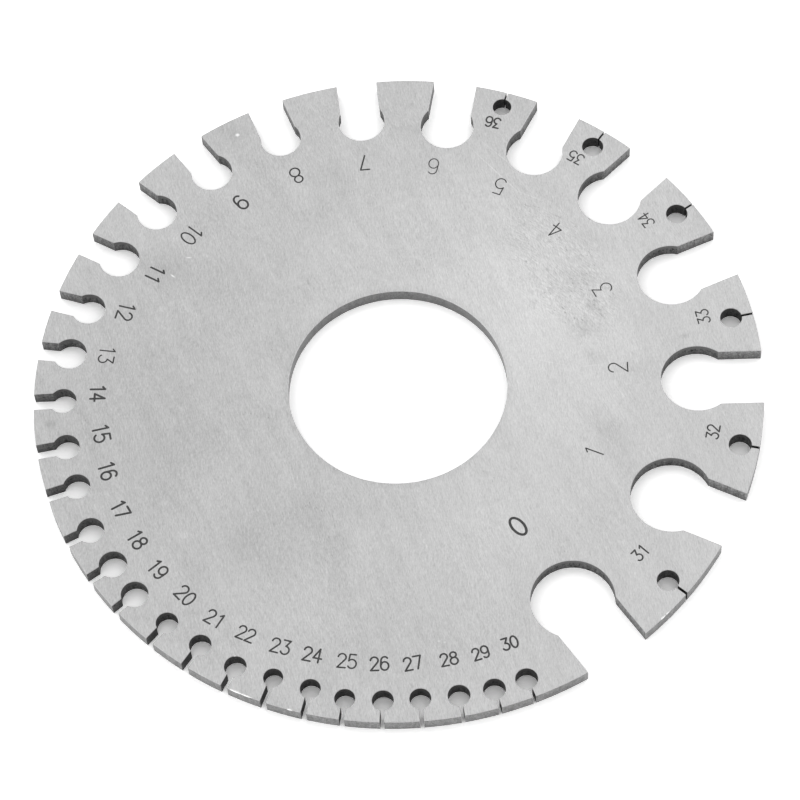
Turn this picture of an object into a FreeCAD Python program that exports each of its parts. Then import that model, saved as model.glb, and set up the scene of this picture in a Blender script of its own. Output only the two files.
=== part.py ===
import FreeCAD, Part
import os

import Sketcher

# Round sheet gauge plate: a flat disc with a centre bore and a ring of keyhole slots.
# Each slot is a drilled relief hole and a straight throat, which runs from the hole's centre
# out through the rim. The throats have the widths of the US Standard sheet gauge.
# The lower face lies on z = 0, and the bore's axis is the z axis.

INCH = 25.4

# Millimetres
PLATE_SIZES = {
    "plate_diameter": 84.0,
    "plate_thickness": 1.9,
    "bore_diameter": 25.2,
    "edge_break": 0.1,
}

# Slots round the rim, widest first and counted anticlockwise. Each row holds the gauge number,
# the throat's width, the degrees on from the slot before (for gauge 0, from the x axis), the
# relief hole's diameter, and how far in from the rim the relief hole's centre lies.
RIM_SLOTS = [
    (0, 5 / 16 * INCH, -59.2, 9.5, 8.3),
    (1, 9 / 32 * INCH, 29.2, 9.3, 7.8),
    (2, 17 / 64 * INCH, 25.8, 8.4, 7.6),
    (3, 1 / 4 * INCH, 23.4, 7.9, 7.2),
    (4, 15 / 64 * INCH, 21.1, 7.4, 6.8),
    (5, 7 / 32 * INCH, 17.9, 6.7, 6.5),
    (6, 13 / 64 * INCH, 17.8, 6.3, 6.1),
    (7, 3 / 16 * INCH, 16.3, 5.5, 5.4),
    (8, 11 / 64 * INCH, 15.5, 4.8, 5.1),
    (9, 5 / 32 * INCH, 14.5, 4.9, 5.0),
    (10, 9 / 64 * INCH, 12.9, 4.7, 4.6),
    (11, 1 / 8 * INCH, 11.7, 4.7, 4.7),
    (12, 7 / 64 * INCH, 11.4, 3.9, 4.2),
    (13, 3 / 32 * INCH, 9.4, 3.9, 3.6),
    (14, 5 / 64 * INCH, 9.3, 3.1, 3.4),
    (15, 9 / 128 * INCH, 9.0, 3.1, 3.4),
    (16, 1 / 16 * INCH, 7.9, 3.1, 3.5),
    (17, 9 / 160 * INCH, 8.7, 3.1, 3.0),
    (18, 1 / 20 * INCH, 7.5, 3.2, 3.1),
    (19, 7 / 160 * INCH, 6.7, 3.1, 2.8),
    (20, 3 / 80 * INCH, 7.6, 2.5, 2.9),
    (21, 11 / 320 * INCH, 6.9, 2.5, 3.0),
    (22, 1 / 32 * INCH, 7.0, 2.5, 2.7),
    (23, 9 / 320 * INCH, 6.5, 2.2, 3.1),
    (24, 1 / 40 * INCH, 6.4, 2.3, 3.0),
    (25, 7 / 320 * INCH, 5.8, 2.3, 2.5),
    (26, 3 / 160 * INCH, 6.1, 2.4, 2.6),
    (27, 11 / 640 * INCH, 6.0, 2.4, 2.7),
    (28, 1 / 64 * INCH, 6.2, 2.5, 2.5),
    (29, 9 / 640 * INCH, 5.7, 2.5, 2.3),
    (30, 1 / 80 * INCH, 5.4, 2.5, 2.3),
]

# Fine slots, one in each of the six widest teeth. Each row holds the gauge number, the throat's
# width, the degrees on from the rim slot before it, and the relief hole's diameter and inset.
# Gauge 31 follows gauge 0, gauge 32 follows gauge 1, and so on.
TOOTH_SLOTS = [
    (31, 7 / 640 * INCH, 14.5, 2.5, 2.6),
    (32, 13 / 1280 * INCH, 13.1, 2.6, 2.2),
    (33, 3 / 320 * INCH, 11.5, 2.5, 2.6),
    (34, 11 / 1280 * INCH, 10.5, 2.5, 2.3),
    (35, 5 / 640 * INCH, 9.2, 2.5, 2.5),
    (36, 9 / 1280 * INCH, 9.0, 2.2, 2.1),
]

# Sketcher's numbers for the x axis, the origin point, and a curve's start, end and centre
X_AXIS = -1
ORIGIN_POINT = (-1, 1)
START, END, CENTRE = 1, 2, 3

# Depth of a cut that passes right through, half of it to each side of the lower face
THROUGH = "4 * dimensions.plate_thickness"

UP = FreeCAD.Vector(0, 0, 1)


def slot_sizes():
    """Sheet entries of every slot."""
    sizes = {}
    for gauge, width, step, relief, inset in RIM_SLOTS + TOOTH_SLOTS:
        sizes[f"width_{gauge}"] = width
        sizes[f"step_{gauge}"] = step
        sizes[f"relief_{gauge}"] = relief
        sizes[f"inset_{gauge}"] = inset
    return sizes


def slot_angle(gauge):
    """Angle of a slot from the x axis, as the sum of the steps that lead to it."""
    rim_slot_before = gauge - 1 if gauge < len(RIM_SLOTS) else gauge - len(RIM_SLOTS)
    steps = [*range(rim_slot_before + 1), gauge]
    return " + ".join(f"dimensions.step_{number}" for number in steps)


def slot_reach(gauge):
    """Distance of a slot's relief hole from the plate's centre."""
    return f"dimensions.plate_diameter / 2 - dimensions.inset_{gauge}"


def add_sheet(doc, sizes):
    """Dimension sheet with a name, a plain number and an alias on each line."""
    sheet = doc.addObject("Spreadsheet::Sheet", "dimensions")
    for line, (name, value) in enumerate(sizes.items(), start=1):
        sheet.set(f"A{line}", name)
        sheet.set(f"B{line}", str(value))
        sheet.setAlias(f"B{line}", name)
    doc.recompute()


def add_sketch(body, name):
    """Sketch on the body's XY plane."""
    plane = next(item for item in body.Origin.OriginFeatures if item.Role == "XY_Plane")
    sketch = body.newObject("Sketcher::SketchObject", name)
    sketch.AttachmentSupport = [(plane, "")]
    sketch.MapMode = "FlatFace"
    return sketch


def add_slot_sketch(body, name, gauge):
    """Sketch turned about z, so that its x axis runs out along the slot."""
    sketch = add_sketch(body, name)
    sketch.setExpression("AttachmentOffset.Rotation.Angle", slot_angle(gauge))
    return sketch


def bind(sketch, expression, *constraint):
    """Constraint whose value follows the dimension sheet."""
    index = sketch.addConstraint(Sketcher.Constraint(*constraint))
    sketch.setExpression(f"Constraints[{index}]", expression)


def draw_centred_circle(body, name, alias):
    """Circle about the origin, with a diameter of the plate."""
    diameter = PLATE_SIZES[alias]
    sketch = add_sketch(body, name)
    circle = sketch.addGeometry(Part.Circle(FreeCAD.Vector(), UP, diameter / 2))
    sketch.addConstraint(Sketcher.Constraint("Coincident", circle, CENTRE, *ORIGIN_POINT))
    bind(sketch, f"dimensions.{alias}", "Diameter", circle, diameter)
    return sketch


def draw_relief(body, gauge, relief, inset):
    """Relief hole, centred on the slot's axis."""
    reach = PLATE_SIZES["plate_diameter"] / 2 - inset
    sketch = add_slot_sketch(body, f"relief_{gauge}", gauge)
    circle = sketch.addGeometry(Part.Circle(FreeCAD.Vector(reach, 0, 0), UP, relief / 2))
    sketch.addConstraint(Sketcher.Constraint("PointOnObject", circle, CENTRE, X_AXIS))
    bind(sketch, f"dimensions.relief_{gauge}", "Diameter", circle, relief)
    bind(sketch, slot_reach(gauge), "DistanceX", *ORIGIN_POINT, circle, CENTRE, reach)
    return sketch


def draw_throat(body, gauge, width, inset):
    """Throat along the slot's axis, from the relief hole's centre to one width past the rim."""
    rim = PLATE_SIZES["plate_diameter"] / 2
    reach = rim - inset
    mouth = rim + width
    corners = [
        FreeCAD.Vector(reach, -width / 2, 0),
        FreeCAD.Vector(mouth, -width / 2, 0),
        FreeCAD.Vector(mouth, width / 2, 0),
        FreeCAD.Vector(reach, width / 2, 0),
    ]
    sketch = add_slot_sketch(body, f"throat_{gauge}", gauge)
    lines = [
        sketch.addGeometry(Part.LineSegment(corner, following))
        for corner, following in zip(corners, corners[1:] + corners[:1])
    ]
    for line, following in zip(lines, lines[1:] + lines[:1]):
        sketch.addConstraint(Sketcher.Constraint("Coincident", line, END, following, START))
    right_wall, mouth_end, left_wall, inner_end = lines
    sketch.addConstraint(Sketcher.Constraint("Horizontal", right_wall))
    sketch.addConstraint(Sketcher.Constraint("Horizontal", left_wall))
    sketch.addConstraint(Sketcher.Constraint("Vertical", mouth_end))
    sketch.addConstraint(
        Sketcher.Constraint("Symmetric", inner_end, START, inner_end, END, X_AXIS)
    )
    alias = f"dimensions.width_{gauge}"
    bind(sketch, alias, "DistanceY", inner_end, END, inner_end, START, width)
    bind(sketch, slot_reach(gauge), "DistanceX", *ORIGIN_POINT, inner_end, START, reach)
    past_rim = f"dimensions.plate_diameter / 2 + {alias}"
    bind(sketch, past_rim, "DistanceX", *ORIGIN_POINT, mouth_end, START, mouth)
    return sketch


def add_cut(body, name, outline):
    """Cut an outline right through the plate."""
    pocket = body.newObject("PartDesign::Pocket", name)
    pocket.Profile = outline
    pocket.SideType = "Symmetric"
    pocket.setExpression("Length", THROUGH)
    return pocket


def add_disc(doc, body):
    """Bored disc with the edges of its rim and bore broken on both faces."""
    disc = body.newObject("PartDesign::Pad", "disc")
    disc.Profile = draw_centred_circle(body, "disc_outline", "plate_diameter")
    disc.setExpression("Length", "dimensions.plate_thickness")

    bore_outline = draw_centred_circle(body, "bore_outline", "bore_diameter")
    bore = add_cut(body, "bore", bore_outline)
    doc.recompute()

    round_edges = [
        f"Edge{number}"
        for number, edge in enumerate(bore.Shape.Edges, start=1)
        if isinstance(edge.Curve, Part.Circle)
    ]
    broken_edges = body.newObject("PartDesign::Chamfer", "broken_edges")
    broken_edges.Base = (bore, round_edges)
    broken_edges.setExpression("Size", "dimensions.edge_break")


def add_cuts_together(body, name, sketches):
    """Cut the outlines of several sketches in one feature."""
    outlines = body.newObject("PartDesign::SubShapeBinder", f"{name}_outlines")
    outlines.Support = [(sketch, ("",)) for sketch in sketches]
    add_cut(body, name, outlines)


def add_slots(body):
    """Drill every slot's relief hole, then cut every throat from its hole out to the rim."""
    reliefs = []
    throats = []
    for gauge, width, _, relief, inset in RIM_SLOTS + TOOTH_SLOTS:
        reliefs.append(draw_relief(body, gauge, relief, inset))
        throats.append(draw_throat(body, gauge, width, inset))
    add_cuts_together(body, "relief_holes", reliefs)
    add_cuts_together(body, "throats", throats)


def check(doc, body):
    """Stop if a feature failed, a cut removed nothing or the plate isn't one valid solid."""
    for item in doc.Objects:
        if "Invalid" in item.State or "Error" in item.State:
            raise RuntimeError(f"{item.Name} failed")
        if item.isDerivedFrom("PartDesign::Pocket"):
            if item.Shape.Volume >= item.BaseFeature.Shape.Volume:
                raise RuntimeError(f"{item.Name} removed nothing")
    shape = body.Shape
    if shape.isNull() or not shape.isValid() or len(shape.Solids) != 1:
        raise RuntimeError(f"{body.Label} is not one valid solid")


def main():
    doc = FreeCAD.newDocument("wire_gauge")
    add_sheet(doc, PLATE_SIZES | slot_sizes())
    plate = doc.addObject("PartDesign::Body", "gauge_plate")
    plate.Label = "gauge_plate"
    plate.Placement = FreeCAD.Placement()
    add_disc(doc, plate)
    add_slots(plate)
    doc.recompute()
    check(doc, plate)
    os.makedirs("parts", exist_ok=True)
    plate.Shape.exportStep(f"parts/{plate.Label}.step")


main()
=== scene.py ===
# Looks of a round sheet gauge plate: its ground faces, cut slot walls, worn edges and etched
# gauge numbers, lying on a white table.
import math

import bpy
from mathutils import Matrix, Vector, noise
from mathutils.geometry import delaunay_2d_cdt


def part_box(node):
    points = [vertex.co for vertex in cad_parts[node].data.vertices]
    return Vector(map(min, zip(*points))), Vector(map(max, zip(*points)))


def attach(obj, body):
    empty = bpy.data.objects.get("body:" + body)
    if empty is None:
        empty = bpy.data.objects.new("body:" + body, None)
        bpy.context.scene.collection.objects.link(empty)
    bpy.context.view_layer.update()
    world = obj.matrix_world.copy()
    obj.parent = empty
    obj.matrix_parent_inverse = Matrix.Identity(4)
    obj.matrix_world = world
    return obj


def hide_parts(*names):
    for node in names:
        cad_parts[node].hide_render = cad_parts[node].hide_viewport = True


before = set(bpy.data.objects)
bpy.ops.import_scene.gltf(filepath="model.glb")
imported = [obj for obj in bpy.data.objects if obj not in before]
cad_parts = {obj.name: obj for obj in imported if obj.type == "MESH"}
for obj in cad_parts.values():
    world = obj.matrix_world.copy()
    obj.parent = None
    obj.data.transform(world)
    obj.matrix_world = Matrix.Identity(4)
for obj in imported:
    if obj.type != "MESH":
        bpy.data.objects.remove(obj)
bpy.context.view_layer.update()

NODE = "gauge_plate"
MM = 0.001

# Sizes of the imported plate, in millimetres
box_low, box_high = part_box(NODE)
thickness = (box_high.z - box_low.z) / MM
radii = [vertex.co.xy.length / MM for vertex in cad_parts[NODE].data.vertices]
rim_radius, bore_radius = max(radii), min(radii)

# Finishes of the plate's faces; the last is a painted glint
GROUND, RIM, BORE, THROAT, RELIEF, MARK, GLINT = range(7)

# Outline, in millimetres: the longest side that it keeps, and how near two places are when they
# count as one
SPACING = 0.2
NEAR = 0.002

# Broken edges: their mean width in millimetres, the share of it that varies, and about how many
# times a millimetre it does so
EDGE_BREAK = 0.05
EDGE_UNEVENNESS = 0.5
EDGE_UNEVENNESS_SCALE = 1.1

# Rows of points round a broken edge, from the wide face to the wall, as shares of its width across
# and up
BREAK_ROWS = [(1.0, 0.0), (0.293, 0.293), (0.0, 1.0)]

# Edges that turn by more degrees than this are shaded sharp
SHARP_EDGE = 20

# Chips in the upper edges: degrees round the plate and millimetres from its middle, then the half
# length and width of the chip, and its finish. The bright finish is a painted glint on the chips.
CHIPS = [
    (240.2, 42.0, 0.9, 0.20, GLINT),
    (241.9, 42.0, 0.8, 0.16, GLINT),
    (249.0, 42.0, 0.35, 0.17, GLINT),
    (309.9, 42.0, 0.4, 0.17, GLINT),
    (310.9, 42.0, 0.3, 0.12, GLINT),
    (237.2, 38.3, 0.25, 0.16, GLINT),
    (323.2, 32.0, 0.22, 0.16, RELIEF),
    (39.5, 31.5, 0.22, 0.15, RELIEF),
]

# Clouds and smudges on the upper face, and a broad painted sheen and shade: the place of their
# middle, their half length and half width in millimetres, their direction in degrees, and how
# much lighter or darker they are
SMUDGES_AND_SHEEN = [
    # Painted sheen, lighter on the right, and painted shade, darker on the left
    (15.0, 7.0, 29.7, 27.9, 0, 0.100),
    (-32.0, -2.0, 24.3, 36.0, 0, -0.050),
    (13.0, 14.0, 17.1, 6.3, -74, 0.028),
    (4.5, -22.0, 9.9, 3.6, -62, 0.028),
    (23.4, -8.8, 4.5, 3.1, -50, -0.066),
    (25.0, -13.5, 3.1, 1.8, -60, -0.044),
    (21.8, 12.0, 4.2, 3.0, -30, -0.050),
    (23.4, 8.2, 2.2, 1.1, -50, -0.080),
    (22.3, 5.5, 2.7, 1.6, -45, -0.100),
    (22.9, 1.5, 1.8, 1.1, 0, -0.050),
    (27.4, -0.5, 2.4, 2.0, 0, -0.050),
    (33.0, 0.0, 12.0, 26.0, 0, -0.035),
    (10.0, -19.6, 9.0, 8.0, 0, 0.035),
    (-13.5, -16.0, 10.0, 9.0, 0, -0.040),
    (-3.7, -33.5, 14.0, 6.5, 0, -0.030),
    (-17.0, 16.0, 8.0, 6.0, 0, -0.025),
    (24.0, 17.0, 6.3, 2.7, -35, -0.044),
    (15.0, 18.0, 4.5, 1.4, -35, -0.033),
    (-15.0, 27.0, 7.2, 3.6, -20, -0.033),
    (-5.5, 29.0, 3.6, 2.7, 0, -0.039),
    (3.5, 34.7, 3.1, 1.4, 0, -0.044),
    (-26.5, 18.5, 5.4, 3.1, -40, -0.050),
    (-16.5, 36.3, 3.1, 2.0, 60, -0.044),
    (-27.0, -5.0, 9.9, 6.3, 80, -0.028),
    (-8.5, -23.5, 5.4, 2.2, 85, -0.033),
    (-20.0, -18.5, 4.5, 2.7, 0, -0.028),
    (-4.0, -16.0, 4.5, 2.7, 0, -0.028),
    (36.0, -10.5, 3.6, 2.7, 0, -0.028),
]

# Straight scratches and specks on the upper face, written in the same way
SCRATCHES = [
    (13.8, 27.9, 5.5, 0.10, -53, 0.13),
    (15.0, 29.4, 4.6, 0.08, -49, 0.11),
    (11.5, -14.5, 1.0, 0.10, 92, -0.14),
    (7.5, -24.0, 4.0, 0.12, -66, 0.06),
    (17.5, 24.0, 3.0, 0.10, -30, 0.08),
    (20.5, 20.8, 1.4, 0.12, -35, -0.11),
    (17.2, 22.6, 1.1, 0.12, -28, -0.10),
    (-16.4, 36.2, 0.32, 0.28, 0, 0.75),
    (-25.1, 17.4, 0.45, 0.15, -45, 0.48),
    (-23.1, 19.7, 0.45, 0.12, -8, 0.32),
    (14.9, 17.4, 1.0, 0.09, -26, -0.10),
    (17.1, 15.7, 0.9, 0.09, -50, -0.09),
    (19.6, 13.1, 0.5, 0.12, -55, -0.12),
    (19.4, 9.2, 0.5, 0.12, -60, -0.12),
    (-40.1, -0.9, 0.80, 0.70, 0, -0.14),
    (33.5, 3.2, 0.70, 0.50, 0, -0.12),
    (17.7, 1.3, 3.0, 0.10, -19, 0.07),
    (22.5, 0.4, 2.1, 0.10, 2, 0.06),
    (25.5, -3.7, 0.9, 0.08, -62, 0.12),
    (26.1, -3.3, 0.7, 0.08, -62, 0.10),
    (23.3, -9.6, 1.1, 0.09, -62, 0.09),
    (2.0, -32.6, 0.24, 0.20, 0, 0.16),
    (2.6, -32.8, 0.24, 0.20, 0, 0.16),
    (-9.8, -22.9, 3.4, 0.16, 88, 0.07),
]

# Patch of fine pits on the upper face, written in the same way but for its last value
PITTED_PATCH = (20.0, 13.5, 15.0, 8.0, 115)

# Etched numbers, in millimetres
MARK_DEPTH = 0.03

# Each digit fits a cell 1 high and CELL_WIDTH wide, and the next digit stands CELL_STEP on. A
# stroke is a list of points and of arcs, and an arc is written as its centre, its two radii, and
# its first and last angle in degrees.
CELL_WIDTH = 0.54
CELL_STEP = 0.70
DIGITS = {
    "0": [[(0.27, 0.5, 0.27, 0.5, 90, 270)], [(0.27, 0.5, 0.27, 0.5, 270, 450)]],
    "1": [[(0.17, 0.84), (0.35, 1.0), (0.35, 0.0)]],
    "2": [[(0.26, 0.74, 0.26, 0.26, 175, -38.7), (0.0, 0.0), (0.54, 0.0)]],
    "3": [[(0.05, 1.0), (0.50, 1.0), (0.26, 0.29, 0.28, 0.29, 90, -153)]],
    "4": [[(0.38, 0.0), (0.36, 1.0), (0.0, 0.30), (0.56, 0.30)]],
    "5": [[(0.47, 1.0), (0.07, 1.0), (0.03, 0.52)], [(0.25, 0.32, 0.29, 0.32, 140, -145)]],
    "6": [
        [(0.27, 0.71, 0.25, 0.29, 40, 180), (0.27, 0.31, 0.27, 0.31, 180, 360)],
        [(0.27, 0.31, 0.27, 0.31, 0, 180)],
    ],
    "7": [[(0.0, 1.0), (0.54, 1.0), (0.22, 0.0)]],
    "8": [
        [(0.27, 0.78, 0.23, 0.22, -90, 90)],
        [(0.27, 0.78, 0.23, 0.22, 90, 270)],
        [(0.27, 0.28, 0.28, 0.28, -90, 90)],
        [(0.27, 0.28, 0.28, 0.28, 90, 270)],
    ],
    "9": [
        [(0.27, 0.69, 0.27, 0.31, 0, 180)],
        [(0.27, 0.69, 0.27, 0.31, 180, 360)],
        [(0.27, 0.29, 0.25, 0.29, 220, 360), (0.54, 0.69)],
    ],
}

# Degrees between the points of an arc and of a stroke's round end, and the turn at which a stroke
# has a corner
ARC_STEP = 12
CAP_STEP = 30
SHARP_TURN = 40

# Gauge numbers, anticlockwise from the widest slot. Each row holds the number, how far its middle
# lies from the plate's middle, how many degrees ahead of its slot it stands, how many degrees it
# leans from the radius, its height and the width of its strokes.
NUMBERS = [
    ("0", 22.8, 1.1, 1.8, 2.47, 0.31),
    ("31", 34.9, 1.2, -4.9, 1.37, 0.19),
    ("1", 24.1, 3.1, -1.1, 2.14, 0.16),
    ("32", 36.5, 1.6, 0.3, 1.39, 0.18),
    ("2", 25.4, 3.8, -2.8, 2.20, 0.15),
    ("33", 36.3, 1.4, -1.3, 1.41, 0.16),
    ("3", 26.8, 3.5, 0.3, 2.24, 0.14),
    ("34", 36.3, 2.2, -3.8, 1.41, 0.16),
    ("4", 27.6, 3.0, 3.1, 2.06, 0.15),
    ("35", 37.1, 1.2, 1.2, 1.43, 0.17),
    ("5", 29.3, 3.0, 2.0, 2.19, 0.15),
    ("36", 37.5, 0.6, 2.3, 1.39, 0.21),
    ("6", 30.0, 1.4, -2.0, 2.13, 0.13),
    ("7", 30.7, 0.6, -2.5, 1.97, 0.19),
    ("8", 31.3, 0.3, 5.1, 2.12, 0.19),
    ("9", 31.4, -0.5, 8.0, 2.05, 0.25),
    ("10", 32.1, -0.6, 0.5, 1.98, 0.20),
    ("11", 32.5, -0.4, -0.3, 1.80, 0.23),
    ("12", 33.5, -1.5, 3.1, 1.88, 0.21),
    ("13", 34.1, -0.6, 0.3, 1.78, 0.17),
    ("14", 34.6, -1.4, -0.6, 1.70, 0.25),
    ("15", 34.4, -1.6, 3.3, 1.84, 0.24),
    ("16", 34.6, -1.3, -0.2, 1.81, 0.25),
    ("17", 34.9, -1.4, 3.5, 1.66, 0.26),
    ("18", 35.0, -1.7, -0.6, 1.74, 0.24),
    ("19", 35.3, -1.1, 0.0, 1.72, 0.23),
    ("20", 35.3, -1.1, -5.9, 1.72, 0.22),
    ("21", 35.5, -0.8, 2.9, 1.65, 0.21),
    ("22", 35.3, -1.3, 3.5, 1.58, 0.20),
    ("23", 35.1, -1.0, 6.1, 1.69, 0.20),
    ("24", 35.0, -1.3, 2.6, 1.65, 0.21),
    ("25", 35.0, -0.7, 2.5, 1.67, 0.19),
    ("26", 35.0, -0.9, 4.5, 1.61, 0.21),
    ("27", 35.0, -0.9, 7.8, 1.55, 0.21),
    ("28", 35.0, -0.5, 1.5, 1.49, 0.21),
    ("29", 35.1, -0.4, 2.6, 1.42, 0.21),
    ("30", 35.0, -0.2, -3.2, 1.41, 0.22),
]

# Ground faces: their grey, their roughness, the depth of their scratches in millimetres, and the
# width of the band round the bore that is rubbed darker
GROUND_GREY = 0.586
GROUND_ROUGHNESS = 0.42
GROUND_RELIEF = 0.004
RUBBED_WIDTH = 1.1

# Cut walls get painted shade where something stands nearer to them than the reach below, in
# millimetres. The most strongly shaded ones have the brightness below times their grey where
# nothing does.
SHADE_REACH = 2.5
OPEN_BRIGHTNESS = 1.6

# A sheared wall is smooth above one height and torn below the other, as shares of the thickness.
# Its torn part is also darker towards the bottom, which is painted shade.
SMOOTH_ABOVE = 0.78
TORN_BELOW = 0.60

# Camera, in metres and degrees, and its lens in millimetres
CAMERA_PLACE = (0.000117, -0.20069, 0.36343)
CAMERA_TILT = 28.808
CAMERA_ROLL = -5.175
CAMERA_LENS = 161.95

# White table: its width in metres, how white it is as it lights the plate, and as it is seen
TABLE_SIZE = 4.0
TABLE_GREY = 0.62
TABLE_SEEN = 1.66

# Lamps, which all face the plate. Each row holds the lamp's name, its place, its width and height
# in metres, and its power in watts.
WORLD_STRENGTH = 0.7
LAMPS = [
    ("key_lamp", (-0.75, 0.75, 0.85), 1.4, 1.4, 2.7),
    ("right_lamp", (0.55, 0.45, 1.1), 1.1, 1.1, 2.1),
    ("low_lamp", (-1.05, -0.5, 0.42), 1.9, 0.9, 3.0),
]


def neighbours(loop):
    """Each point of a closed loop, between the one before and the one after."""
    return zip(loop[-1:] + loop[:-1], loop, loop[1:] + loop[:1])


def left_of(direction):
    """Unit vector to the left of a direction."""
    return Vector((-direction.y, direction.x)).normalized()


def border_loops(mesh, level):
    """Closed loops of points round the flat face of a mesh at one height, the longest first."""
    sides = {}
    for polygon in mesh.polygons:
        corners = [mesh.vertices[index].co for index in polygon.vertices]
        if all(abs(corner.z - level) < NEAR * MM for corner in corners):
            places = [(corner.x, corner.y) for corner in corners]
            for side in zip(places, places[1:] + places[:1]):
                sides[side] = True
    following = {start: end for start, end in sides if (end, start) not in sides}
    loops = []
    while following:
        start, point = following.popitem()
        loop = [start]
        while point != start:
            loop.append(point)
            point = following.pop(point)
        loops.append([Vector(point) / MM for point in loop])
    return sorted(loops, key=len, reverse=True)


def on_circle(point, radius):
    """Whether a point lies on a circle about the plate's middle."""
    return abs(point.length - radius) < NEAR


def meet_circle(start, through, radius):
    """Point where the ray from one point through another meets a circle about the middle."""
    direction = (through - start).normalized()
    along = start.dot(direction)
    distance = math.sqrt(along**2 - start.length_squared + radius**2) - along
    return start + direction * distance


def without_chamfer(loop, chamfered, radius):
    """Loop with its points on the chamfer's circle moved to the wall's circle."""
    moved = []
    for before, point, after in neighbours(loop):
        if not on_circle(point, chamfered):
            moved.append(point)
        elif not on_circle(before, chamfered):
            moved.append(meet_circle(before, point, radius))
        elif not on_circle(after, chamfered):
            moved.append(meet_circle(after, point, radius))
        else:
            moved.append(point * (radius / chamfered))
    return moved


def circle_centre(first, second, third):
    """Centre of the circle through three points, or None where they lie in line."""
    near, far = second - first, third - first
    double_area = 2 * near.cross(far)
    if abs(double_area) < NEAR**2:
        return None
    across = far.y * near.length_squared - near.y * far.length_squared
    along = near.x * far.length_squared - far.x * near.length_squared
    return first + Vector((across, along)) / double_area


def arc_centre(loop, index, radius):
    """Centre of the arc that one side of the loop stands for, or None for a straight side."""
    count = len(loop)
    if on_circle(loop[index], radius) and on_circle(loop[(index + 1) % count], radius):
        return Vector((0, 0))
    for shift in (-2, -1, 0):
        points = [loop[(index + shift + step) % count] for step in range(4)]
        centre = circle_centre(*points[:3])
        if centre is not None:
            arc_radius = (points[0] - centre).length
            if abs((points[3] - centre).length - arc_radius) < NEAR:
                return centre
    return None


def refined(loop, radius):
    """Loop with its arcs made round again and its sides divided, and the finish of each side."""
    points, sides = [], []
    for index, start in enumerate(loop):
        end = loop[(index + 1) % len(loop)]
        centre = arc_centre(loop, index, radius)
        if centre is None:
            finish = THROAT
        elif centre.length > NEAR:
            finish = RELIEF
        else:
            finish = RIM if radius == rim_radius else BORE
        pieces = math.ceil((end - start).length / SPACING)
        for piece in range(pieces):
            point = start.lerp(end, piece / pieces)
            if centre is not None:
                arm = (point - centre).normalized() * (start - centre).length
                point = centre + arm
            points.append(point)
            sides.append(finish)
    return points, sides


def slot_angles(loop, radius):
    """Angles of the slots' relief holes round the plate, anticlockwise from the widest slot."""
    widths = {}
    for index, start in enumerate(loop):
        centre = arc_centre(loop, index, radius)
        if centre is not None and centre.length > NEAR:
            angle = round(math.degrees(math.atan2(centre.y, centre.x)) % 360, 2)
            widths[angle] = (start - centre).length
    widest = max(widths, key=widths.get)
    return sorted(widths, key=lambda angle: (angle - widest) % 360)


def edge_break(point, side):
    """Width of the broken edge at a point, on the upper or lower side of the plate."""
    place = Vector((point.x, point.y, side)) * EDGE_UNEVENNESS_SCALE
    return EDGE_BREAK * (1 + EDGE_UNEVENNESS * noise.noise(place))


def chipped(point, width):
    """Width and finish of the upper edge at a point, where its width without chips is given."""
    finish = GROUND
    for angle, reach, half_length, chip_width, chip_finish in CHIPS:
        turn = math.radians(angle)
        middle = Vector((math.cos(turn), math.sin(turn))) * reach
        depth = chip_width * (1 - ((point - middle).length / half_length) ** 2)
        if depth > width:
            width, finish = depth, chip_finish
    return width, finish


class Shell:
    """Mesh that grows point by point, in millimetres, with a finish for each face."""

    def __init__(self):
        self.points = []
        self.faces = []
        self.finishes = []

    def add_point(self, place, height):
        """Adds a point and gives back its index."""
        self.points.append((place.x * MM, place.y * MM, height * MM))
        return len(self.points) - 1

    def add_face(self, corners, finish):
        """Adds a face between points, anticlockwise as seen from outside."""
        self.faces.append(corners)
        self.finishes.append(finish)

    def add_band(self, lower, upper, finishes):
        """Wall between two closed rows of points, with a finish for each of its faces."""
        count = len(lower)
        for index, finish in enumerate(finishes):
            after = (index + 1) % count
            self.add_face((lower[after], lower[index], upper[index], upper[after]), finish)


def add_wall(shell, loop, wall):
    """Wall of one loop with both its edges broken. Gives back its lowest and highest rows."""
    inward = []
    for before, point, after in neighbours(loop):
        first = left_of(point - before)
        second = left_of(after - point)
        inward.append((first + second) / (1 + first.dot(second)))
    lower_breaks = [edge_break(point, -1) for point in loop]
    upper_breaks, upper_edge = zip(*[chipped(point, edge_break(point, 1)) for point in loop])

    rows = []
    for across, up in BREAK_ROWS:
        rows.append([
            shell.add_point(point + step * width * across, width * up)
            for point, step, width in zip(loop, inward, lower_breaks)
        ])
    for across, up in reversed(BREAK_ROWS):
        rows.append([
            shell.add_point(point + step * width * across, thickness - width * up)
            for point, step, width in zip(loop, inward, upper_breaks)
        ])

    lower_edge = [GROUND] * len(loop)
    bands = [lower_edge, lower_edge, wall, upper_edge, upper_edge]
    for lower, upper, finishes in zip(rows, rows[1:], bands):
        shell.add_band(lower, upper, finishes)
    return rows[0], rows[-1]


def stroke_points(stroke):
    """Points along a digit's stroke."""
    points = []
    for item in stroke:
        if len(item) == 2:
            points.append(Vector(item))
            continue
        centre_x, centre_y, radius_x, radius_y, first, last = item
        steps = math.ceil(abs(last - first) / ARC_STEP)
        for step in range(steps + 1):
            angle = math.radians(first + (last - first) * step / steps)
            place = (centre_x + radius_x * math.cos(angle), centre_y + radius_y * math.sin(angle))
            points.append(Vector(place))
    return points


def smooth_runs(points):
    """Stretches of a stroke between its sharp corners."""
    runs = [[points[0]]]
    for before, point, after in zip(points, points[1:], points[2:]):
        runs[-1].append(point)
        heading, next_heading = point - before, after - point
        if math.degrees(heading.angle(next_heading)) > SHARP_TURN:
            runs.append([point])
    runs[-1].append(points[-1])
    return runs


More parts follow.
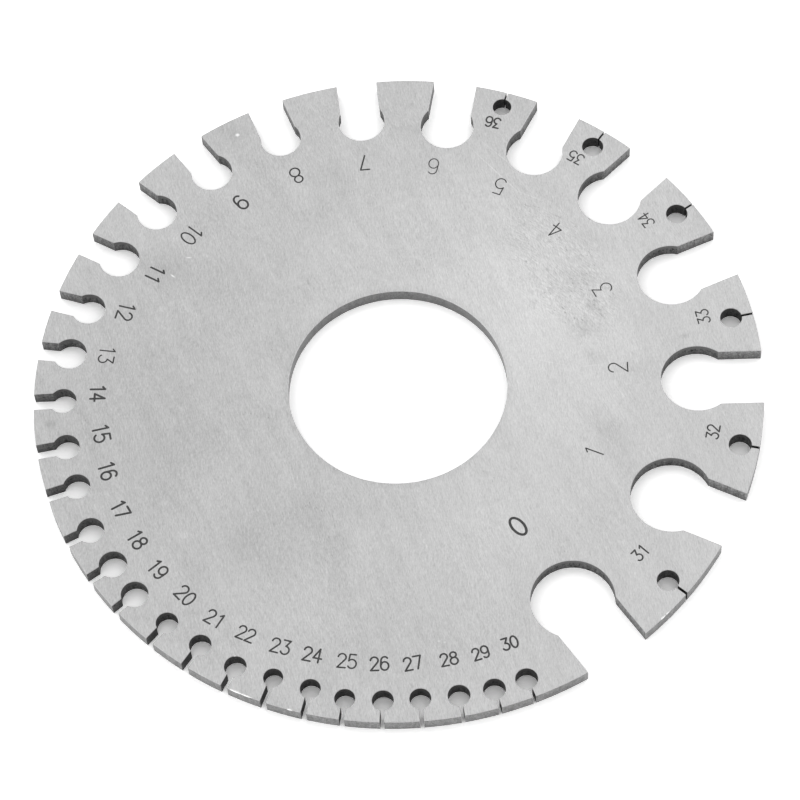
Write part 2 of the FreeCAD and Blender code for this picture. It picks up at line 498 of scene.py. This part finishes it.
def ribbon(run, half_width):
    """Outline of a smooth run of a stroke, with round ends."""
    outline = []
    for path in (run, run[::-1]):
        for before, point, after in zip(path, path[1:], path[2:]):
            outline.append(point - left_of(after - before) * half_width)
        heading = (path[-1] - path[-2]).normalized() * half_width
        for turn in range(-90, 91, CAP_STEP):
            outline.append(path[-1] + Matrix.Rotation(math.radians(turn), 2) @ heading)
    return outline


def number_outlines(text, reach, angle, lean, height, stroke_width):
    """Outlines of a number's strokes, with its top towards the plate's middle."""
    turn = math.radians(angle)
    middle = Vector((math.cos(turn), math.sin(turn))) * reach
    rotation = Matrix.Rotation(turn + math.radians(90 + lean), 2)
    text_width = CELL_WIDTH + CELL_STEP * (len(text) - 1)
    outlines = []
    for place, digit in enumerate(text):
        offset = Vector((CELL_STEP * place - text_width / 2, -0.5))
        for stroke in DIGITS[digit]:
            points = [middle + rotation @ ((point + offset) * height)
                      for point in stroke_points(stroke)]
            outlines += [ribbon(run, stroke_width / 2) for run in smooth_runs(points)]
    return outlines


def plate_triangles(shell, rows, outlines=()):
    """Triangles of the flat face between two border rows, cut along some outlines. Gives back the
    places of their corners, the border points these stand for, and the triangles in two lists,
    outside and inside the outlines."""
    border = [index for row in rows for index in row]
    places = [Vector(shell.points[index][:2]) / MM for index in border]
    loops = [list(range(len(rows[0]))), list(range(len(rows[0]), len(border)))[::-1]]
    for outline in outlines:
        loops.append([len(places) + step for step in range(len(outline))])
        places += outline
    places, _, triangles, origins, _, regions = delaunay_2d_cdt(places, [], loops, 0, 1e-6, True)
    stands_for = {
        index: border[origin] for index, parts in enumerate(origins) for origin in parts
        if origin < len(border)
    }
    outside, inside = [], []
    for triangle, parts in zip(triangles, regions):
        if 0 in parts and 1 not in parts:
            chosen = inside if len(parts) > 1 else outside
            chosen.append(triangle)
    return places, stands_for, outside, inside


def fill_underside(shell, rows):
    """Plain lower face between its border rows."""
    _, stands_for, triangles, _ = plate_triangles(shell, rows)
    for triangle in triangles:
        shell.add_face([stands_for[index] for index in reversed(triangle)], GROUND)


def fill_top(shell, rows, outlines):
    """Upper face between its border rows, with the outlined marks sunk into it."""
    places, top, plain, marked = plate_triangles(shell, rows, outlines)
    bottom = {}
    sides = set()
    for triangle in plain + marked:
        for index in triangle:
            if index not in top:
                top[index] = shell.add_point(places[index], thickness)
    for triangle in plain:
        shell.add_face([top[index] for index in triangle], GROUND)
    for triangle in marked:
        for index in triangle:
            if index not in bottom:
                bottom[index] = shell.add_point(places[index], thickness - MARK_DEPTH)
        shell.add_face([bottom[index] for index in triangle], MARK)
        sides.update(zip(triangle, triangle[1:] + triangle[:1]))
    for start, end in sorted(sides):
        if (end, start) not in sides:
            shell.add_face((top[start], top[end], bottom[end], bottom[start]), MARK)


def add(tree, kind, inputs=None, **settings):
    """Shader node with its settings, and with values or links at its inputs."""
    node = tree.nodes.new(kind)
    for name, value in settings.items():
        setattr(node, name, value)
    for name, value in (inputs or {}).items():
        if isinstance(value, bpy.types.NodeSocket):
            tree.links.new(value, node.inputs[name])
        else:
            node.inputs[name].default_value = value
    return node


def new_material(name):
    """Empty node material with an output node."""
    material = bpy.data.materials.new(name)
    material.use_nodes = True
    tree = material.node_tree
    tree.nodes.clear()
    return material, tree, add(tree, "ShaderNodeOutputMaterial")


def plate_place(tree):
    """Place on the plate, in millimetres."""
    coordinates = add(tree, "ShaderNodeTexCoord")
    scaled = add(tree, "ShaderNodeVectorMath", {0: coordinates.outputs["Object"], 1: (1 / MM,) * 3},
                 operation="MULTIPLY")
    return scaled.outputs["Vector"]


def turned(tree, place, size, angle=0.0, middle=(0.0, 0.0, 0.0)):
    """Place measured in sizes of a grain or mark, from its middle and along its direction."""
    mapping = add(tree, "ShaderNodeMapping", {
        "Vector": place, "Location": middle, "Rotation": (0.0, 0.0, math.radians(angle)),
        "Scale": size}, vector_type="TEXTURE")
    return mapping.outputs["Vector"]


def grain(tree, place, size, angle=0.0, detail=2.0):
    """Noise about zero whose grains have some size along x, y and z before they are turned."""
    texture = add(tree, "ShaderNodeTexNoise", {
        "Vector": turned(tree, place, size, angle), "Scale": 1.0, "Detail": detail,
        "Roughness": 0.6})
    centred = add(tree, "ShaderNodeMath", {0: texture.outputs["Fac"], 1: 0.5}, operation="SUBTRACT")
    return centred.outputs["Value"]


def wandering(tree, place, size, reach):
    """Place that wanders to and fro, so that what is drawn on it isn't straight."""
    texture = add(tree, "ShaderNodeTexNoise", {
        "Vector": turned(tree, place, (size, size, size)), "Scale": 1.0, "Detail": 2.0})
    centred = add(tree, "ShaderNodeVectorMath", {
        0: texture.outputs["Color"], 1: (0.5, 0.5, 0.5)}, operation="SUBTRACT")
    moved = add(tree, "ShaderNodeVectorMath", {
        0: centred.outputs["Vector"], 1: (reach, reach, 0.0), 2: place}, operation="MULTIPLY_ADD")
    return moved.outputs["Vector"]


def mark(tree, place, x, y, half_length, half_width, angle):
    """Soft oval mark on the upper face, one in its middle and zero outside."""
    texture = add(tree, "ShaderNodeTexGradient", {
        "Vector": turned(tree, place, (half_length, half_width, thickness), angle,
                         (x, y, thickness))}, gradient_type="SPHERICAL")
    return texture.outputs["Fac"]


def from_middle(tree, place):
    """Distance from the plate's axis."""
    flat = add(tree, "ShaderNodeVectorMath", {0: place, 1: (1.0, 1.0, 0.0)}, operation="MULTIPLY")
    reach = add(tree, "ShaderNodeVectorMath", {0: flat.outputs["Vector"]}, operation="LENGTH")
    return reach.outputs["Value"]


def stepped(tree, value, low, high):
    """Value spread from zero at one bound to one at the other."""
    spread = add(tree, "ShaderNodeMapRange", {
        "Value": value, "From Min": low, "From Max": high}, interpolation_type="SMOOTHSTEP")
    return spread.outputs["Result"]


def product(tree, first, second):
    """First value times the second."""
    return add(tree, "ShaderNodeMath", {0: first, 1: second}, operation="MULTIPLY").outputs["Value"]


def weighted_sum(tree, base, parts):
    """Base value plus each part times its weight."""
    total = base
    for part, weight in parts:
        step = add(tree, "ShaderNodeMath", {0: part, 1: weight, 2: total}, operation="MULTIPLY_ADD")
        total = step.outputs["Value"]
    return total


def finish_steel(tree, output, value, roughness, height, relief, metallic):
    """Steel shader with a varying grey, roughness and relief."""
    colour = add(tree, "ShaderNodeCombineColor", {"Red": value, "Green": value, "Blue": value})
    bump = add(tree, "ShaderNodeBump", {"Strength": 1.0, "Distance": relief, "Height": height})
    shader = add(tree, "ShaderNodeBsdfPrincipled", {
        "Base Color": colour.outputs["Color"], "Metallic": metallic, "Roughness": roughness,
        "Normal": bump.outputs["Normal"]})
    tree.links.new(shader.outputs["BSDF"], output.inputs["Surface"])


def ground_steel():
    """Ground sheet: short crossing scratches, faint clouds, pits, the marks of use and a broad
    painted sheen.
    """
    material, tree, output = new_material("ground_steel")
    place = plate_place(tree)
    bent = wandering(tree, place, 14.0, 3.0)
    ragged = wandering(tree, place, 2.0, 3.5)

    fine = grain(tree, bent, (0.10, 1.2, 1.0), 12.0)
    crossing = grain(tree, bent, (0.11, 0.8, 1.0), -8.0)
    mottle = grain(tree, place, (0.22, 0.30, 1.0), 15.0)
    bands = grain(tree, bent, (1.6, 9.0, 1.0), 18.0)
    clouds = grain(tree, place, (6.0, 9.0, 1.0), 20.0)
    long_grain = grain(tree, bent, (0.14, 14.0, 1.0), 20.0, detail=0.0)
    long_scratches = stepped(tree, long_grain, 0.20, 0.32)
    rubbed_edge = stepped(tree, from_middle(tree, place), bore_radius + RUBBED_WIDTH, bore_radius)
    dashes = stepped(tree, grain(tree, bent, (0.15, 0.5, 1.0), 45.0, detail=1.0), 0.10, 0.22)
    patches = stepped(tree, grain(tree, place, (2.5, 4.0, 1.0), 30.0, detail=1.0), -0.10, 0.12)
    pitted = stepped(tree, mark(tree, ragged, *PITTED_PATCH), 0.1, 0.6)
    pits = product(tree, product(tree, dashes, patches), pitted)
    scuffs = product(tree, grain(tree, bent, (0.15, 0.9, 1.0), 42.0), pitted)

    parts = [(fine, 0.30), (crossing, 0.25), (mottle, 0.21), (bands, 0.11), (clouds, 0.10),
             (long_scratches, 0.035), (pits, -0.15), (scuffs, 0.40), (rubbed_edge, -0.04)]
    # Marks on the upper face, among them the broad painted sheen and shade
    for marks, surface in ((SMUDGES_AND_SHEEN, ragged), (SCRATCHES, place)):
        for *shape, change in marks:
            parts.append((mark(tree, surface, *shape), change))
    value = weighted_sum(tree, GROUND_GREY, parts)
    roughness = weighted_sum(tree, GROUND_ROUGHNESS, [(fine, 0.3), (mottle, 0.25), (clouds, 0.3),
                                                      (pits, 0.2)])
    height = weighted_sum(tree, 0.0, [(fine, 1.0), (crossing, 0.8), (long_scratches, -0.5),
                                      (pits, -1.0), (scuffs, 1.0)])
    finish_steel(tree, output, value, roughness, height, GROUND_RELIEF * MM, 1.0)
    return material


def plain_steel(name, grey, roughness, grains, relief, metallic=1.0, painted_shade=0.0, sheared_and_shaded=0.0):
    """Steel whose grey, roughness and height vary with some grains, with painted shade where it is
    closed in, and smooth near the upper edge where it was sheared, with painted shade below."""
    material, tree, output = new_material(name)
    place = plate_place(tree)
    parts = [(grain(tree, place, size), weight) for size, weight in grains]
    if sheared_and_shaded:
        split = add(tree, "ShaderNodeSeparateXYZ", {"Vector": place})
        torn_and_shaded = stepped(tree, split.outputs["Z"], SMOOTH_ABOVE * thickness, TORN_BELOW * thickness)
        parts = [(product(tree, part, torn_and_shaded), weight) for part, weight in parts]
        # Painted shade: the wall is darker towards the bottom
        parts.append((torn_and_shaded, -sheared_and_shaded))
    value = height = weighted_sum(tree, grey, parts)
    uneven = weighted_sum(tree, roughness, parts)
    if painted_shade:
        # Painted shade: darker where the occlusion node finds something near
        openness = add(tree, "ShaderNodeAmbientOcclusion", {"Distance": SHADE_REACH * MM})
        brightness = weighted_sum(tree, 1.0 - painted_shade, [
            (openness.outputs["AO"], OPEN_BRIGHTNESS * painted_shade)])
        value = product(tree, value, brightness)
    finish_steel(tree, output, value, uneven, height, relief, metallic)
    return material


def finishes():
    """Materials in the order of the finish numbers."""
    return [
        ground_steel(),
        plain_steel("turned_steel", 0.235, 0.5, [
            ((0.18, 0.18, 0.3), 0.50), ((0.5, 0.5, 1.5), 0.25)], 0.02 * MM),
        plain_steel("bored_steel", 0.165, 0.38, [
            ((0.18, 0.18, 0.3), 0.22), ((0.6, 0.6, 1.5), 0.12)], 0.02 * MM),
        # The cut and drilled walls carry painted shade where they are closed in
        plain_steel("cut_steel", 0.155, 0.6, [
            ((0.20, 0.20, 0.3), 0.45), ((0.3, 0.3, 1.5), 0.25)], 0.03 * MM, painted_shade=1.0),
        plain_steel("drilled_steel", 0.138, 0.65, [
            ((0.22, 0.22, 0.3), 0.42), ((0.3, 0.3, 1.5), 0.28)], 0.03 * MM, painted_shade=0.55,
            sheared_and_shaded=0.025),
        plain_steel("etched_mark", 0.07, 0.7, [
            ((0.15, 0.15, 0.15), 0.10), ((1.0, 1.0, 1.0), 0.08)], 0.01 * MM, metallic=0.3),
        # Painted glint on the chips: a near-white grey
        plain_steel("nick_glint", 0.90, 0.3, [
            ((0.2, 0.2, 0.2), 0.30), ((0.6, 0.6, 0.6), 0.10)], 0.01 * MM),
    ]


def build_plate():
    """Plate with rounded arcs, broken edges and etched numbers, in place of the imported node."""
    outer, bore = border_loops(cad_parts[NODE].data, box_high.z)
    outer = without_chamfer(outer, max(point.length for point in outer), rim_radius)
    bore = without_chamfer(bore, bore[0].length, bore_radius)
    outlines = []
    angles = slot_angles(outer, rim_radius)
    for (text, reach, lead, lean, height, width), angle in zip(NUMBERS, angles):
        outlines += number_outlines(text, reach, angle + lead, lean, height, width)

    shell = Shell()
    lowest, highest = [], []
    for loop, radius in ((outer, rim_radius), (bore, bore_radius)):
        low_row, high_row = add_wall(shell, *refined(loop, radius))
        lowest.append(low_row)
        highest.append(high_row)
    fill_top(shell, highest, outlines)
    fill_underside(shell, lowest)

    mesh = bpy.data.meshes.new("gauge_plate_finished")
    mesh.from_pydata(shell.points, [], shell.faces)
    mesh.validate()
    for material in finishes():
        mesh.materials.append(material)
    mesh.polygons.foreach_set("material_index", shell.finishes)
    mesh.shade_smooth()
    mesh.set_sharp_from_angle(angle=math.radians(SHARP_EDGE))
    piece = bpy.data.objects.new("gauge_plate_finished", mesh)
    bpy.context.scene.collection.objects.link(piece)
    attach(piece, "root")
    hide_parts(NODE)


def build_table():
    """White table. What the camera or the steel sees of it is brighter than the light it gives."""
    half = TABLE_SIZE / 2
    mesh = bpy.data.meshes.new("table")
    mesh.from_pydata([(-half, -half, 0), (half, -half, 0), (half, half, 0), (-half, half, 0)], [],
                     [(0, 1, 2, 3)])
    material, tree, output = new_material("table_white")
    path = add(tree, "ShaderNodeLightPath")
    seen = add(tree, "ShaderNodeMath", {
        0: path.outputs["Is Camera Ray"], 1: path.outputs["Is Glossy Ray"]}, operation="MAXIMUM")
    seen = add(tree, "ShaderNodeMath", {
        0: seen.outputs["Value"], 1: path.outputs["Is Transmission Ray"]}, operation="MAXIMUM")
    colour = add(tree, "ShaderNodeMapRange", {
        "Value": seen.outputs["Value"], "To Min": TABLE_GREY, "To Max": TABLE_SEEN})
    shader = add(tree, "ShaderNodeBsdfDiffuse", {"Color": colour.outputs["Result"]})
    tree.links.new(shader.outputs["BSDF"], output.inputs["Surface"])
    mesh.materials.append(material)
    table = bpy.data.objects.new("table", mesh)
    bpy.context.scene.collection.objects.link(table)


def build_lights():
    """Even white surroundings, with broad soft lamps behind the plate and low at its left."""
    world = bpy.data.worlds.new("studio")
    bpy.context.scene.world = world
    world.use_nodes = True
    tree = world.node_tree
    tree.nodes.clear()
    path = add(tree, "ShaderNodeLightPath")
    strength = add(tree, "ShaderNodeMapRange", {
        "Value": path.outputs["Is Camera Ray"], "To Min": WORLD_STRENGTH, "To Max": 1.0})
    background = add(tree, "ShaderNodeBackground", {
        "Color": (1, 1, 1, 1), "Strength": strength.outputs["Result"]})
    output = add(tree, "ShaderNodeOutputWorld")
    tree.links.new(background.outputs["Background"], output.inputs["Surface"])

    for name, place, width, height, power in LAMPS:
        data = bpy.data.lights.new(name, "AREA")
        data.shape = "ELLIPSE"
        data.size, data.size_y = width, height
        data.energy = power
        lamp = bpy.data.objects.new(name, data)
        lamp.location = place
        lamp.rotation_euler = Vector(place).to_track_quat("Z", "Y").to_euler()
        bpy.context.scene.collection.objects.link(lamp)


def build_camera():
    """Camera above the plate and in front of it."""
    camera = bpy.data.objects.new("camera", bpy.data.cameras.new("camera"))
    camera.data.lens = CAMERA_LENS
    camera.data.clip_end = 10
    camera.location = CAMERA_PLACE
    camera.rotation_mode = "ZYX"
    camera.rotation_euler = (math.radians(CAMERA_TILT), 0, math.radians(CAMERA_ROLL))
    bpy.context.scene.collection.objects.link(camera)
    bpy.context.scene.camera = camera


build_plate()
build_table()
build_lights()
build_camera()
bpy.context.scene.view_settings.view_transform = "Standard"
